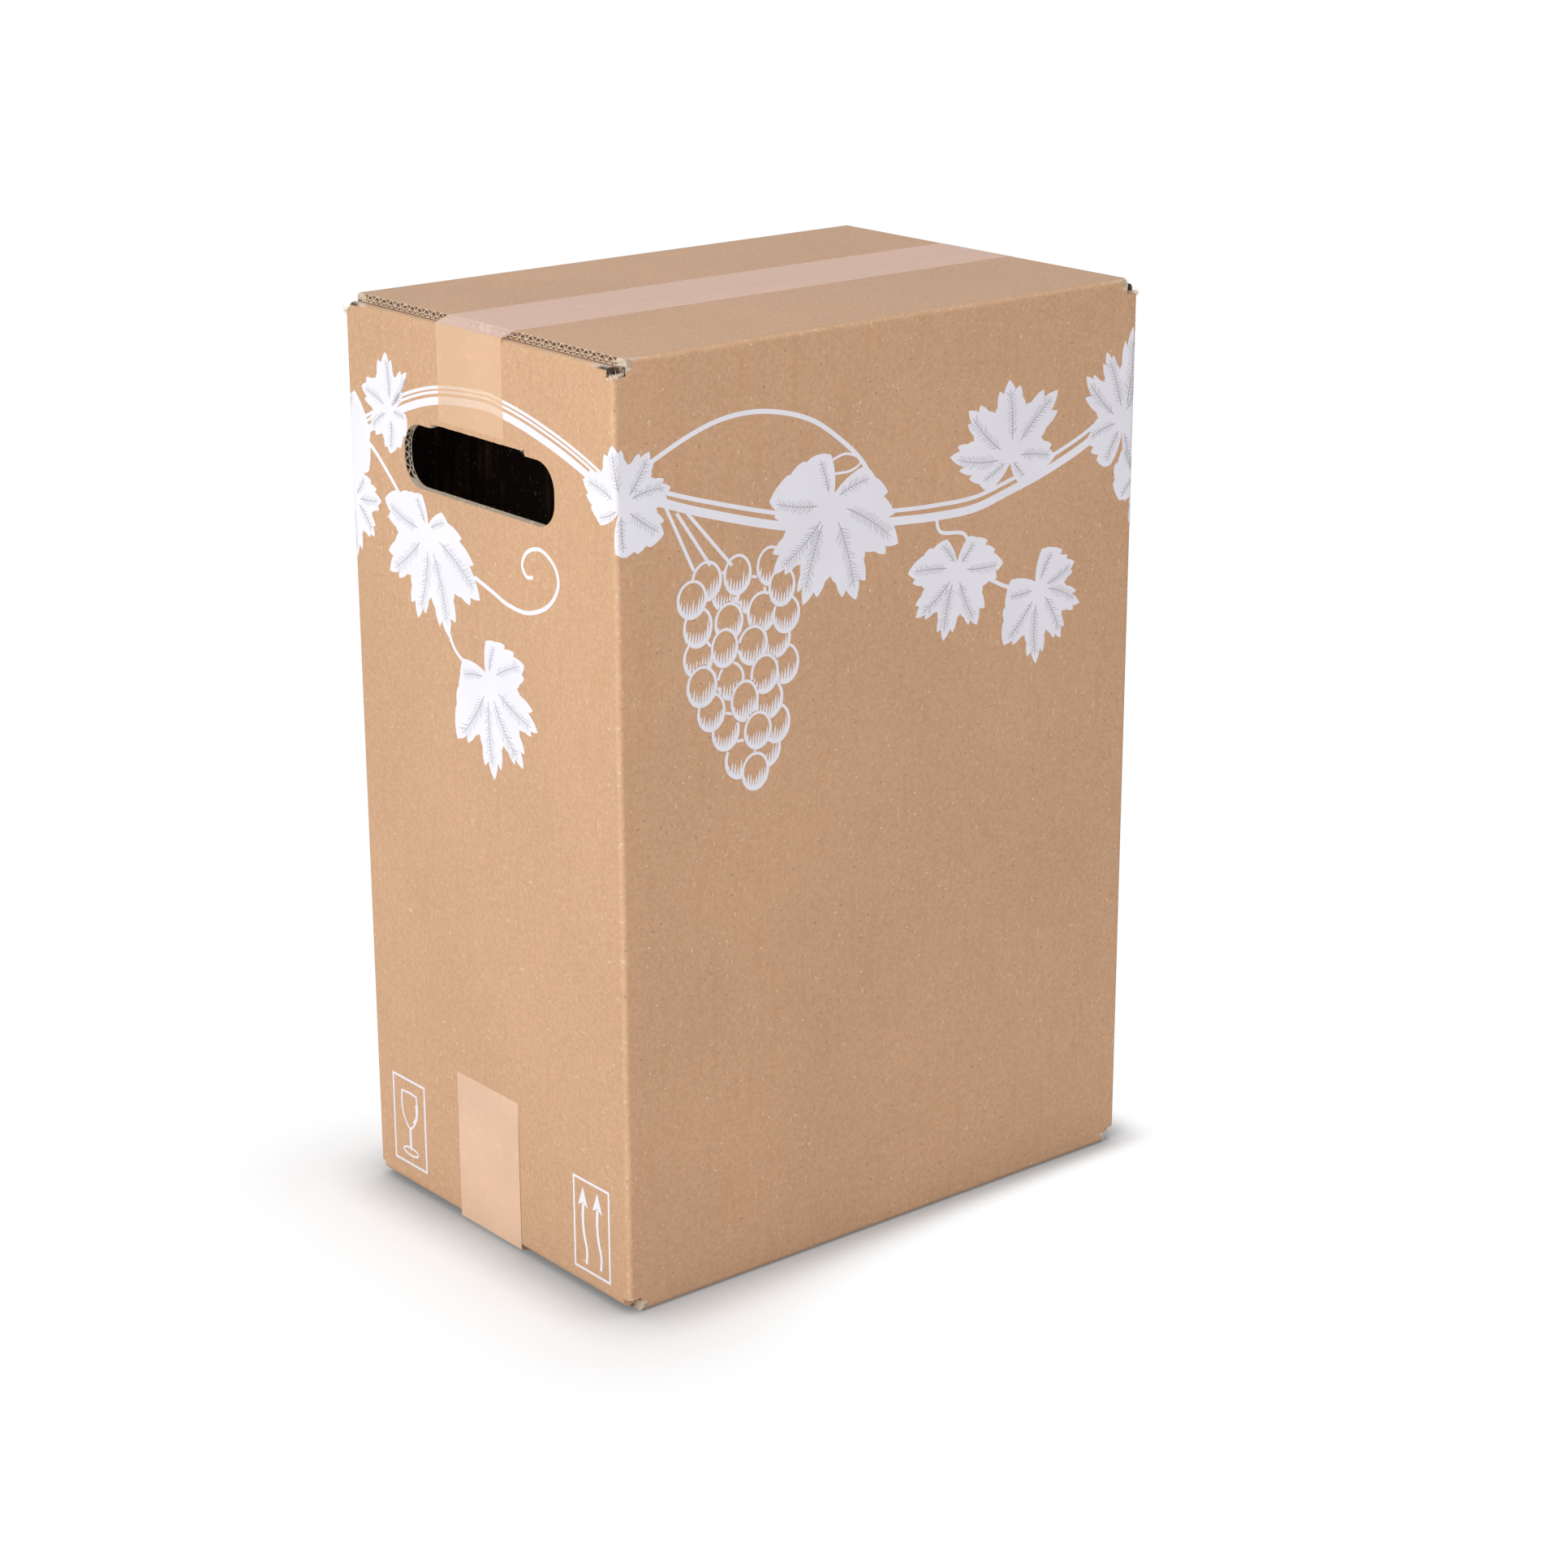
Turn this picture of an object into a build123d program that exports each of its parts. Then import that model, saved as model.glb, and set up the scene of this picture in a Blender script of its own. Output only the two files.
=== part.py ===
from build123d import *
from math import atan2, cos, degrees, radians, sin
import os

# A wine shipping carton: one folded blank of corrugated board, taped shut, with a bottle divider.
# Millimetres. The origin is the centre of the base and +Z is up. The long walls face -Y and +Y,
# and the end walls, which have the hand holes, face -X and +X.

# Outside size of the closed carton
length = 308.0
width = 205.0
height = 440.0

# Double-wall corrugated board, and how it folds
board = 4.0
fold_outer = 3.0
fold_inner = 0.8  # inside a flap's fold
layer_gap = 0.4  # between an end flap and the long flaps that are shut over it
end_fold_rise = 2.0  # how far the fold of an end flap stands proud of the flap

# Corner slots between the flaps, and the seam where the long flaps meet
slot_width = 7.5  # how far a long flap stops short of the end walls
slot_depth = 7.5  # from the top or the base of the carton to the bottom of a slot
slot_clearance = 0.3  # between an end flap and the long walls beside it
seam_gap = 1.0

# Corrugations open at the cut edges of the long flaps and at the ends of the hand holes: an outer
# row of tall ones, an inner row of low ones, and three liners
liner = 0.3
medium = 0.3
outer_flute_pitch = 5.75
outer_flute_height = 1.9
inner_flute_pitch = 4.2
flute_wide_share = 0.8  # of an opening's two widths, the part at the liner
flute_open_depth = 2.5
flute_end_margin = 1.5

# Glue tab of one long wall, lapped inside the end wall at the +X +Y corner
tab_width = 35.0
tab_end_clearance = 4.0
tab_taper = 10.0
lap_back = 0.8  # how far the end wall's cut edge stays behind the long wall's face

# Hand holes, and the tongue of board that hinges in and up behind each of them
hole_length = 116.0
hole_height = 29.5
hole_corner = 12.5
hole_drop = 51.5  # from the top of the carton to the hole
hole_side = -1.5  # off the middle of the end wall, along Y
hinge_length = 69.0
hinge_rise = 3.0  # of the tongue's fold above the hole
hinge_nick = 2.0  # relief cut at each end of the fold
tongue_lean = 12.0  # degrees away from the wall
tongue_gap = 0.5

# Packing tape over both seams
tape_width = 50.0
tape_film = 0.1
tape_top_side = 2.5  # off the middle, along Y
tape_top_drop = 47.0  # down each end wall
tape_bottom_side = 6.4
tape_bottom_climb = 77.5  # up each end wall
tape_press_margin = 0.2  # round the film, where the carton's weight presses it into the board

# Bottle divider of single-wall board: one long strip with short ones slotted over it
divider_board = 3.0
divider_height = 270.0
divider_clearance = 0.5  # to the walls
divider_slot_clearance = 0.3  # on every side of a crossing
divider_corner = 12.0
cells_along = 3

# Places that follow from these sizes
flap_depth = width / 2
inner_length = length - 2 * board
inner_width = width - 2 * board
long_span = length - 2 * slot_width
end_span = inner_width - 2 * slot_clearance
end_flap_top = height - board - layer_gap
end_fold_top = end_flap_top + end_fold_rise
hole_bottom = height - hole_drop - hole_height
hole_middle = hole_bottom + hole_height / 2
hinge_bottom = hole_bottom + hole_height + hinge_rise
hinge_axis = hinge_bottom + board
floor_level = height - end_flap_top + board
cross_pitch = (inner_length + divider_board) / cells_along
cross_middles = [(i - cells_along / 2) * cross_pitch for i in range(1, cells_along)]


def same_below(points):
    """Points of the upper half of an upright profile, then the same points at the lower end."""
    return points + [(across, height - up) for across, up in reversed(points)]


def flute_row(pitch, flute_height, row_top, start, end):
    """One row of openings in a cut edge, in turn above and below the wavy medium."""
    count = int((end - start) / pitch - 0.5)
    middle = (start + end) / 2
    opening_height = flute_height - medium
    widths = pitch - 3 * medium
    wide = flute_wide_share * widths
    slope = degrees(atan2(2 * opening_height, 2 * wide - widths))
    for sign, turn in ((1, 180), (-1, 0)):
        row_middle = row_top - flute_height / 2 + sign * medium / 2
        with Locations((middle + sign * pitch / 4, row_middle)):
            with GridLocations(pitch, pitch, count, 1):
                Trapezoid(wide, opening_height, slope, rotation=turn)


def flute_openings(outer_face, edge_start, edge_end):
    """The outer and the inner row of openings between the two ends of a cut edge."""
    start = edge_start + flute_end_margin
    end = edge_end - flute_end_margin
    outer_row_top = outer_face - liner
    inner_row_top = outer_row_top - outer_flute_height - liner
    inner_flute_height = board - 3 * liner - outer_flute_height
    flute_row(outer_flute_pitch, outer_flute_height, outer_row_top, start, end)
    flute_row(inner_flute_pitch, inner_flute_height, inner_row_top, start, end)


with BuildPart() as carton:
    # The four walls between the corner slots. At +X +Y the long wall folds in behind the end wall,
    # which ends there in a cut edge.
    with BuildSketch(Plane.XY.offset(slot_depth)):
        RectangleRounded(length, width, fold_outer)
        with Locations((length / 2, width / 2)):
            Rectangle(
                board + fold_outer, fold_outer, align=(Align.MAX, Align.MAX), mode=Mode.SUBTRACT
            )
        with Locations((length / 2 - board - fold_outer, width / 2 - fold_outer)):
            Circle(fold_outer)
        with Locations((length / 2, width / 2 - fold_outer)):
            Rectangle(board, fold_outer - lap_back, align=(Align.MAX, Align.MIN))
        Rectangle(inner_length, inner_width, mode=Mode.SUBTRACT)
    extrude(amount=height - 2 * slot_depth)

    # Each long wall with its two flaps, a strip of board folded at the top and at the base
    with BuildSketch(Plane.YZ.offset(-long_span / 2)) as long_strips:
        for side in (-1, 1):
            upper_half = [
                (side * inner_width / 2, height - board),
                (side * seam_gap / 2, height - board),
                (side * seam_gap / 2, height),
                (side * width / 2, height),
            ]
            with BuildLine():
                Polyline(*same_below(upper_half), close=True)
            make_face()
        rows = long_strips.vertices().group_by(Axis.X)
        fillet(rows[1] + rows[-2], fold_inner)
        rows = long_strips.vertices().group_by(Axis.X)
        fillet(rows[0] + rows[-1], fold_outer)
    extrude(amount=long_span)

    # Each end wall with its two flaps, which lie under the long ones and rise a little at the fold
    with BuildSketch(Plane.XZ.offset(-end_span / 2)) as end_strips:
        for side in (-1, 1):
            flap_end = side * (length / 2 - flap_depth)
            fold_foot = side * long_span / 2
            upper_half = [
                (side * inner_length / 2, end_fold_top - board),
                (fold_foot, end_flap_top - board),
                (flap_end, end_flap_top - board),
                (flap_end, end_flap_top),
                (fold_foot, end_flap_top),
                (side * length / 2, end_fold_top),
            ]
            with BuildLine():
                Polyline(*same_below(upper_half), close=True)
            make_face()
        rows = end_strips.vertices().group_by(Axis.X)
        fillet(rows[1] + rows[-2], fold_inner)
        rows = end_strips.vertices().group_by(Axis.X)
        fillet(rows[0] + rows[-1], fold_outer)
    extrude(amount=end_span)

    # The glue tab, flat against the inside of the end wall
    with BuildSketch(Plane.YZ.offset(inner_length / 2)):
        tab_end = slot_depth + tab_end_clearance
        tab_upper = [
            (width / 2 - fold_outer, height - tab_end),
            (width / 2 - tab_width, height - tab_end - tab_taper),
        ]
        with BuildLine():
            Polyline(*same_below(tab_upper), close=True)
        make_face()
    extrude(amount=-board)

    # The hand holes, cut up to the fold of the tongue between two small relief cuts
    with BuildSketch(Plane.YZ.offset(-length / 2)):
        with Locations((hole_side, hole_middle)):
            RectangleRounded(hole_length, hole_height, hole_corner)
            Rectangle(
                hinge_length + 2 * hinge_nick,
                hinge_axis - hole_middle,
                align=(Align.CENTER, Align.MIN),
            )
    extrude(amount=length, mode=Mode.SUBTRACT)

    # The tongue cut from each hole, rolled over its fold and leaning on the inside of the wall
    for side in (-1, 1):
        hinge = (side * inner_length / 2, hole_side, hinge_axis)
        with Locations(hinge):
            Cylinder(board, hinge_length, rotation=(90, 0, 0))
        lean = radians(tongue_lean)
        inward = (-side * cos(lean), 0, -sin(lean))
        tongue_far_edge = hinge_bottom - hole_bottom - board
        with BuildSketch(Plane(hinge, x_dir=(0, -side, 0), z_dir=inward).offset(tongue_gap)):
            with Locations((0, tongue_far_edge - hole_height / 2)):
                RectangleRounded(hole_length, hole_height, hole_corner)
        extrude(amount=board)

    # Open corrugations in the side edges of the long flaps, top and base
    for side in (-1, 1):
        cut_edge = Plane((side * long_span / 2, 0, height / 2), x_dir=(0, side, 0), z_dir=(side, 0, 0))
        with BuildSketch(cut_edge):
            flute_openings(height / 2, seam_gap / 2, width / 2 - fold_outer)
            mirror(about=Plane.YZ)
            mirror(about=Plane.XZ)
        extrude(amount=-flute_open_depth, mode=Mode.SUBTRACT)

    # Open corrugations in both ends of each hand hole
    for side in (-1, 1):
        hole_section = Plane((side * length / 2, hole_side, 0), x_dir=(0, 0, 1), z_dir=(0, side, 0))
        with BuildSketch(hole_section):
            flute_openings(0, hole_bottom, hole_bottom + hole_height)
        extrude(amount=hole_length / 2 + flute_open_depth, both=True, mode=Mode.SUBTRACT)

    # The band that the bottom tape is pressed into by the weight on it
    with BuildSketch(Plane.XY):
        with Locations((0, tape_bottom_side)):
            Rectangle(long_span, tape_width + 2 * tape_press_margin)
    extrude(amount=tape_film, mode=Mode.SUBTRACT)


def tape_strip(points, middle):
    """A strip of tape whose sticky face follows the points, from the -X end to the +X end."""
    with BuildSketch(Plane.XZ.offset(-middle)) as section:
        with BuildLine():
            route = Polyline(*points)
            offset(route, amount=tape_film, side=Side.LEFT, kind=Kind.INTERSECTION)
        make_face()
    extrude(section.sketch, amount=tape_width / 2, both=True)


def tape_route(flap_level, fold_level, end_level):
    """Along the seam, across the gap from the flaps' cut edges to the end walls, and along those."""
    half = [(long_span / 2, flap_level), (length / 2, fold_level), (length / 2, end_level)]
    return [(-across, up) for across, up in reversed(half)] + half


with BuildPart() as tape_top:
    tape_strip(tape_route(height, end_fold_top, height - tape_top_drop), tape_top_side)

with BuildPart() as tape_bottom:
    tape_strip(
        tape_route(tape_film, height - end_fold_top, tape_bottom_climb)[::-1], tape_bottom_side
    )


def divider_strip(strip_length, slot_places, slots_from_top):
    """One upright strip of the divider, half slotted through where others cross it."""
    slot_length = divider_height / 2 + divider_slot_clearance
    slot_start = divider_height if slots_from_top else 0
    slot_align = Align.MAX if slots_from_top else Align.MIN
    with BuildSketch() as outline:
        Rectangle(strip_length, divider_height, align=(Align.CENTER, Align.MIN))
        fillet(outline.vertices().group_by(Axis.Y)[-1], divider_corner)
        with Locations(*[(place, slot_start) for place in slot_places]):
            Rectangle(
                divider_board + 2 * divider_slot_clearance,
                slot_length,
                align=(Align.CENTER, slot_align),
                mode=Mode.SUBTRACT,
            )
    return outline.sketch


with BuildPart() as divider_long:
    with BuildSketch(Plane((0, 0, floor_level), x_dir=(1, 0, 0), z_dir=(0, -1, 0))):
        add(divider_strip(inner_length - 2 * divider_clearance, cross_middles, True))
    extrude(amount=divider_board / 2, both=True)

divider_crosses = []
for cross_middle in cross_middles:
    with BuildPart() as divider_cross:
        with BuildSketch(Plane((cross_middle, 0, floor_level), x_dir=(0, 1, 0), z_dir=(1, 0, 0))):
            add(divider_strip(inner_width - 2 * divider_clearance, [0], False))
        extrude(amount=divider_board / 2, both=True)
    divider_crosses.append(divider_cross)


pieces = {
    "carton": carton,
    "tape_top": tape_top,
    "tape_bottom": tape_bottom,
    "divider_long": divider_long,
}
for number, divider_cross in enumerate(divider_crosses, start=1):
    pieces[f"divider_cross_{number}"] = divider_cross

os.makedirs("parts", exist_ok=True)
for name, piece in pieces.items():
    piece.part.label = name
    export_step(piece.part, f"parts/{name}.step")
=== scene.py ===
import random
from math import atan2, cos, hypot, pi, radians, sin

import bmesh
import bpy
from mathutils import Matrix, Vector


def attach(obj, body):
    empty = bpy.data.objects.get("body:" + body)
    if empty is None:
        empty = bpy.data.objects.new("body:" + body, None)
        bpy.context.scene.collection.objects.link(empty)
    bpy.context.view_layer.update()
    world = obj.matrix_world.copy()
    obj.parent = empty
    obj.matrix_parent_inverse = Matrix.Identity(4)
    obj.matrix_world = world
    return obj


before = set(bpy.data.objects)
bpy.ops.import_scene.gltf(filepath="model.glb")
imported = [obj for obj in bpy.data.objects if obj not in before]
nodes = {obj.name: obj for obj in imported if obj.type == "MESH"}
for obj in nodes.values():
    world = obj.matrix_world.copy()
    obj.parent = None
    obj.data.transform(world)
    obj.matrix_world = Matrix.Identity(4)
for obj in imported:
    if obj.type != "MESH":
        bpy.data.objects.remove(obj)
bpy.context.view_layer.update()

# The carton in metres, as the CAD frame has it
HALF_LENGTH = 0.154
HALF_WIDTH = 0.1025
HEIGHT = 0.44
END_CREST = 0.4376
LONG_HALF_SPAN = 0.1465
FILM = 0.0001
FLUTE_PITCH = 0.00575
DIVIDER_FLUTE_PITCH = 0.0065
HOLE_MIDDLE = -0.0015

# The same walls laid out flat, in millimetres along the perimeter. Zero is the near corner.
LAID_END = 205.0
LAID_FRONT = 308.0
LAID_HALF = LAID_END + LAID_FRONT
LAID_FOLD = 3.0
FOLD_CUTS = 3

# The glued corner, where the far print stops: the raw edge of the end wall and the fold behind it
SEAM_START = LAID_HALF - 0.9
SEAM_END = LAID_HALF + 7.2

# How far the print lies off the board, in millimetres: each shape a layer above the last
INK_LIFT = 0.02
VEIN_LIFT = 0.08
LAYER = 0.00015
COPY_LIFT = 0.006


# Shader graphs


class Graph:
    """Builds the nodes of one material."""

    def __init__(self, name):
        self.material = bpy.data.materials.new(name)
        self.material.use_nodes = True
        self.tree = self.material.node_tree
        self.tree.nodes.clear()
        self.out = self.tree.nodes.new("ShaderNodeOutputMaterial")

    def node(self, kind, sockets=None, **settings):
        """A node with its settings, and its sockets linked or set."""
        made = self.tree.nodes.new("ShaderNode" + kind)
        for key, value in settings.items():
            setattr(made, key, value)
        for key, value in (sockets or {}).items():
            if isinstance(value, bpy.types.NodeSocket):
                self.tree.links.new(value, made.inputs[key])
            else:
                made.inputs[key].default_value = value
        return made

    def math(self, operation, a, b=0.0):
        return self.node("Math", {0: a, 1: b}, operation=operation).outputs[0]

    def chain(self, operation, first, *others):
        for other in others:
            first = self.math(operation, first, other)
        return first

    def product(self, *values):
        return self.chain("MULTIPLY", *values)

    def greatest(self, *values):
        return self.chain("MAXIMUM", *values)

    def distance(self, a, b):
        squares = self.math("ADD", self.math("POWER", a, 2.0), self.math("POWER", b, 2.0))
        return self.math("SQRT", squares)

    def ramp(self, value, low, high, to_low=0.0, to_high=1.0):
        """Goes softly from one result to the other between the limits, which may run down."""
        sockets = {0: value, 1: low, 2: high, 3: to_low, 4: to_high}
        return self.node("MapRange", sockets, interpolation_type="SMOOTHSTEP").outputs[0]

    def mix(self, share, a, b, blend="MIX"):
        sockets = {0: share, 6: a, 7: b}
        return self.node("Mix", sockets, data_type="RGBA", blend_type=blend).outputs[2]

    def axes(self, kind, output):
        """The three parts of a vector that a node gives."""
        return self.node("SeparateXYZ", {0: self.node(kind).outputs[output]}).outputs

    def place(self, turn=(0, 0, 0), stretch=(1, 1, 1)):
        """Object coordinates, turned and stretched."""
        coordinates = self.node("TexCoord").outputs["Object"]
        sockets = {"Vector": coordinates, "Rotation": turn, "Scale": stretch}
        return self.node("Mapping", sockets).outputs[0]

    def noise(self, scale, detail=2.0, rough=0.5, place=None, distort=0.0):
        sockets = {"Scale": scale, "Detail": detail, "Roughness": rough, "Distortion": distort}
        sockets["Vector"] = place or self.place()
        return self.node("TexNoise", sockets).outputs[0]

    def bump(self, height, strength, distance, before=None):
        sockets = {"Height": height, "Strength": strength, "Distance": distance}
        if before:
            sockets["Normal"] = before
        return self.node("Bump", sockets).outputs[0]

    def surface(self, shader):
        self.tree.links.new(shader, self.out.inputs["Surface"])
        return self.material

    def principled(self, sockets):
        return self.surface(self.node("BsdfPrincipled", sockets).outputs[0])


def shade(colour, factor):
    return tuple(min(1.0, c * factor) for c in colour[:3]) + (1.0,)


KRAFT = (0.655, 0.402, 0.238, 1)
KRAFT_LIGHT = (0.86, 0.7, 0.48, 1)
KRAFT_DARK = (0.3, 0.165, 0.085, 1)
KRAFT_MOTTLE = (0.88, 0.86, 0.84, 1)
KRAFT_WORN = (0.84, 0.56, 0.34, 1)
KRAFT_SCUFFED = (0.92, 0.78, 0.6, 1)
KRAFT_CUT = (1.0, 0.82, 0.62, 1)
# The inside of the box is painted near-black as shade
KRAFT_INSIDE_SHADE = (0.05, 0.03, 0.02, 1)
# Painted shade in the open corrugations and the corner slots
KRAFT_HOLLOW_SHADE = (0.02, 0.012, 0.01, 1)
# The divider's colour is darkened as painted shade inside the carton
DIVIDER = (0.36, 0.23, 0.14, 1)
SPECK_SCALE = 250.0


def speckle(graph, colour, light, dark):
    """Recycled fibres over a board colour: clouds, grain, pale flecks and dark specks."""
    cloud = graph.ramp(graph.noise(9, 3), 0.3, 0.7)
    colour = graph.mix(cloud, shade(colour, 0.965), shade(colour, 1.03))
    mottle = graph.ramp(graph.noise(620, 4, 0.7), 0.36, 0.64)
    colour = graph.mix(mottle, graph.mix(1.0, colour, KRAFT_MOTTLE, "MULTIPLY"), colour)

    streaks = graph.place(stretch=(1, 1, 0.12))
    flecks = graph.place((0.5, 0.7, 0.3), (1, 1, 0.35))
    hairs = graph.place((1.1, 0.4, 0.9), (1, 0.3, 1))
    # Each kind of fibre: its noise, the limits within which the noise shows, how strongly, and its colour
    for noise, low, high, strength, tint in (
        ((240, 2, 0.5, streaks), 0.5, 0.78, 0.35, shade(dark, 1.9)),
        ((1500, 3, 0.7), 0.56, 0.8, 0.55, dark),
        ((1100, 1, 0.4, flecks), 0.68, 0.78, 0.55, light),
        ((900, 0, 0, hairs, 0.6), 0.8, 0.86, 0.5, light),
    ):
        seen = graph.ramp(graph.noise(*noise), low, high)
        colour = graph.mix(graph.product(seen, strength), colour, tint)

    # Specks at the middles of cells, of which some are dark and some pale
    cell = graph.node("TexVoronoi", {"Vector": graph.place(), "Scale": SPECK_SCALE})
    spot = graph.ramp(cell.outputs["Distance"], 0.07, 0.13, 1.0, 0.0)
    odd = graph.node("SeparateColor", {0: cell.outputs["Color"]}).outputs[0]
    dark_spots = graph.product(spot, graph.ramp(odd, 0.7, 0.74), 0.7)
    pale_spots = graph.product(spot, graph.ramp(odd, 0.17, 0.15), 0.8)
    colour = graph.mix(dark_spots, colour, shade(dark, 0.6))
    return graph.mix(pale_spots, colour, shade(light, 1.15))


# Limits of the carton's masks, each from none to full. First depths in metres below the outside of the
# box: OUT and IN are measured from a wall, TOP and FOOT from the top or, as the flaps match, the base.
WALL_INSIDE = (0.0012, 0.0016)
FLAP_INSIDE = (0.0055, 0.006)
FLAP_EDGE_OUT = (0.0071, 0.0074)
FLAP_EDGE_IN = (0.0105, 0.0101)
FLAP_EDGE_TOP = (0.00003, 0.00012)
FLAP_EDGE_FOOT = (0.0056, 0.005)
HOLE_EDGE_OUT = (0.00004, 0.00015)
HOLE_EDGE_IN = (0.0045, 0.0041)
HOLE_EDGE_SIDES = (0.02, 0.03)
NOTCH_TOP = (0.0001, 0.0003)
NOTCH_FOOT = (0.0078, 0.0074)
FLUTES_OUT = (0.0077, 0.0088)
FLUTES_IN = (0.0108, 0.0102)
FLUTES_TOP = (0.0003, 0.0006)
FLUTES_FOOT = (0.0042, 0.0038)
SLOT_TOP = (0.003, 0.004)
SLOT_OUT = (0.0003, 0.0008)
# Two walls' depths added, at a corner
NOTCH_REACH = (0.02, 0.012)
SLOT_REACH = (0.014, 0.009)
# Heights above the floor
HOLE_FLOOR = (0.353, 0.354)
HOLE_CEILING = (0.396, 0.395)
UPPER_HALF = (0.2, 0.3)
# How squarely a face looks along an axis
EDGE_ON = (0.8, 0.5)
CORNER_EDGE_ON = (0.85, 0.6)
FACING_UP = (0.6, 0.8)
# Distances from a fold line, from fully worn to not at all, and how far noise shifts them
FOLD_WEAR = (0.0009, 0.0024)
FOLD_RAGGED = 0.0034


def carton_material():
    """Kraft liner with worn folds, pulp at its cut edges, painted shade inside the box and in its dark
    depths, and a faint washboard.
    """
    graph = Graph("kraft_board")
    here = graph.axes("TexCoord", "Object")
    flat_x, flat_y, flat_z = (graph.math("ABSOLUTE", part) for part in graph.axes("NewGeometry", "Normal"))
    depth_x = graph.math("SUBTRACT", HALF_LENGTH, graph.math("ABSOLUTE", here[0]))
    depth_y = graph.math("SUBTRACT", HALF_WIDTH, graph.math("ABSOLUTE", here[1]))
    from_middle = graph.math("ABSOLUTE", graph.math("SUBTRACT", here[2], HEIGHT / 2))
    depth_z = graph.math("SUBTRACT", HEIGHT / 2, from_middle)
    depth_crest = graph.math("SUBTRACT", END_CREST - HEIGHT / 2, from_middle)
    corner_depth = graph.math("ADD", depth_x, depth_y)

    colour = speckle(graph, KRAFT, KRAFT_LIGHT, KRAFT_DARK)

    # Worn folds: the three kinds of fold line, ragged by noise
    ragged = graph.product(graph.math("SUBTRACT", graph.noise(130, 4, 0.7), 0.5), FOLD_RAGGED)
    worn_lines = []
    for a, b in ((depth_x, depth_y), (depth_y, depth_z), (depth_x, depth_crest)):
        off = graph.math("ADD", graph.distance(a, b), ragged)
        worn_lines.append(graph.ramp(off, *FOLD_WEAR, 1.0, 0.0))
    worn = graph.greatest(*worn_lines)
    colour = graph.mix(graph.product(worn, 0.3), colour, KRAFT_WORN)
    scuff = graph.ramp(graph.noise(420, 4, 0.75), 0.56, 0.66)
    colour = graph.mix(graph.product(scuff, worn, 0.55), colour, KRAFT_SCUFFED)

    # Inside of the box, painted dark as the shade in the closed carton
    inside_shade = graph.product(
        graph.ramp(depth_x, *WALL_INSIDE),
        graph.ramp(depth_y, *WALL_INSIDE),
        graph.ramp(depth_z, *FLAP_INSIDE),
    )
    colour = graph.mix(inside_shade, colour, speckle(graph, KRAFT_INSIDE_SHADE, KRAFT_LIGHT, KRAFT_DARK))

    # Raw cut edges of the board: of the long flaps, round the hand holes and at the corners' slots
    flap_cut = graph.product(
        graph.ramp(depth_x, *FLAP_EDGE_IN),
        graph.ramp(depth_x, *FLAP_EDGE_OUT),
        graph.ramp(depth_z, *FLAP_EDGE_FOOT),
        graph.ramp(flat_z, *EDGE_ON),
        graph.ramp(depth_z, *FLAP_EDGE_TOP),
    )
    rim = graph.product(
        graph.ramp(here[2], *HOLE_FLOOR),
        graph.ramp(here[2], *HOLE_CEILING),
        graph.ramp(depth_x, *HOLE_EDGE_IN),
        graph.ramp(depth_x, *HOLE_EDGE_OUT),
        graph.ramp(flat_x, *EDGE_ON),
        graph.ramp(depth_y, *HOLE_EDGE_SIDES),
    )
    notch = graph.product(
        graph.ramp(depth_z, *NOTCH_FOOT),
        graph.ramp(depth_z, *NOTCH_TOP),
        graph.ramp(corner_depth, *NOTCH_REACH),
        graph.ramp(graph.greatest(flat_x, flat_y), *CORNER_EDGE_ON),
    )
    cut_edge = graph.greatest(flap_cut, rim, notch)
    torn = graph.ramp(graph.noise(900, 4, 0.8), 0.42, 0.6)
    pulp = graph.mix(torn, shade(KRAFT_CUT, 0.85), KRAFT_CUT)
    colour = graph.mix(cut_edge, colour, pulp)

    # Painted shade in the dark depths: in the flap's open corrugations, and in the slots at the four corners
    in_flutes = graph.product(
        graph.ramp(depth_x, *FLUTES_OUT),
        graph.ramp(depth_x, *FLUTES_IN),
        graph.ramp(depth_z, *FLUTES_TOP),
        graph.ramp(depth_z, *FLUTES_FOOT),
    )
    slots = graph.product(
        graph.ramp(depth_z, *NOTCH_FOOT),
        graph.ramp(depth_z, *SLOT_TOP),
        graph.ramp(graph.math("MINIMUM", depth_x, depth_y), *SLOT_OUT),
        graph.ramp(corner_depth, *SLOT_REACH),
        graph.ramp(here[2], *UPPER_HALF),
    )
    hollow_shade = graph.greatest(graph.product(in_flutes, 0.3), slots)
    colour = graph.mix(graph.product(hollow_shade, 0.93), colour, KRAFT_HOLLOW_SHADE)

    # Faint washboard of the corrugations under the liner, which run round the box
    up_wave = graph.math("SINE", graph.product(here[2], 2 * pi / FLUTE_PITCH))
    y_wave = graph.math("SINE", graph.product(here[1], 2 * pi / FLUTE_PITCH))
    on_top = graph.ramp(flat_z, *FACING_UP)
    on_sides = graph.math("SUBTRACT", 1.0, on_top)
    wave = graph.math("ADD", graph.product(up_wave, on_sides), graph.product(y_wave, on_top))
    wave = graph.product(wave, graph.ramp(graph.noise(14, 2), 0.25, 0.8))
    board = graph.bump(wave, 0.12, 0.0005)
    board = graph.bump(graph.noise(11, 2), 0.35, 0.004, board)
    board = graph.bump(graph.noise(1300, 4, 0.7), 0.22, 0.0003, board)
    board = graph.bump(graph.product(torn, cut_edge), 0.8, 0.0004, board)
    return graph.principled({
        "Base Color": colour,
        "Roughness": graph.ramp(graph.noise(300, 3), 0.2, 0.8, 0.62, 0.82),
        "Normal": board,
        "Specular IOR Level": 0.34,
        "Sheen Weight": 0.12,
        "Sheen Roughness": 0.5,
    })


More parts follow.
